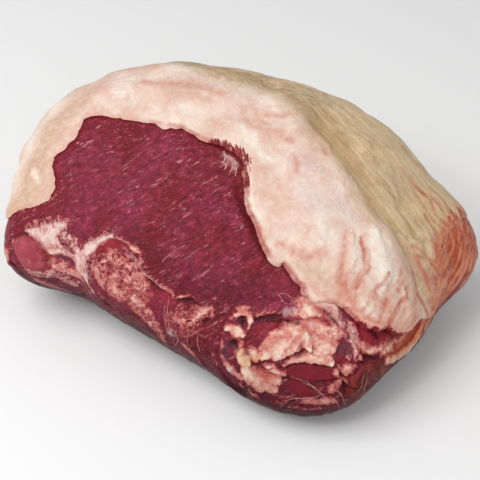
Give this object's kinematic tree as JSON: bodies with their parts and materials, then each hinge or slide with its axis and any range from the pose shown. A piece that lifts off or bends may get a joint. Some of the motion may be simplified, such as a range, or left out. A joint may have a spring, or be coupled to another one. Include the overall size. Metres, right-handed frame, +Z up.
{
  "type": "raw beef top round",
  "caption": "Whole raw beef top round lying fat side up: red lean face, proud cream fat cap and lumpy seam fat, on a flat underside.",
  "frame": {"origin": "on the surface that the meat lies on, under the middle of its box", "axes": "+X runs along the roast towards its small right end, -Y is the side of the bare red face, +Z is up through the fat"},
  "size_m": [0.3925, 0.267, 0.168],
  "materials": {
    "lean_meat": "moist purple-red raw beef with pale flecks, satin",
    "fat_cap": "cream fat with a pink blush, turning tan over the back, satin",
    "seam_fat": "lumpy pink-cream fat with blood-red seams, satin"
  },
  "bodies": {
    "root": {"lean_meat": "lean_meat", "fat_cap": "fat_cap", "seam_fat": "seam_fat"}
  },
  "joints": []
}
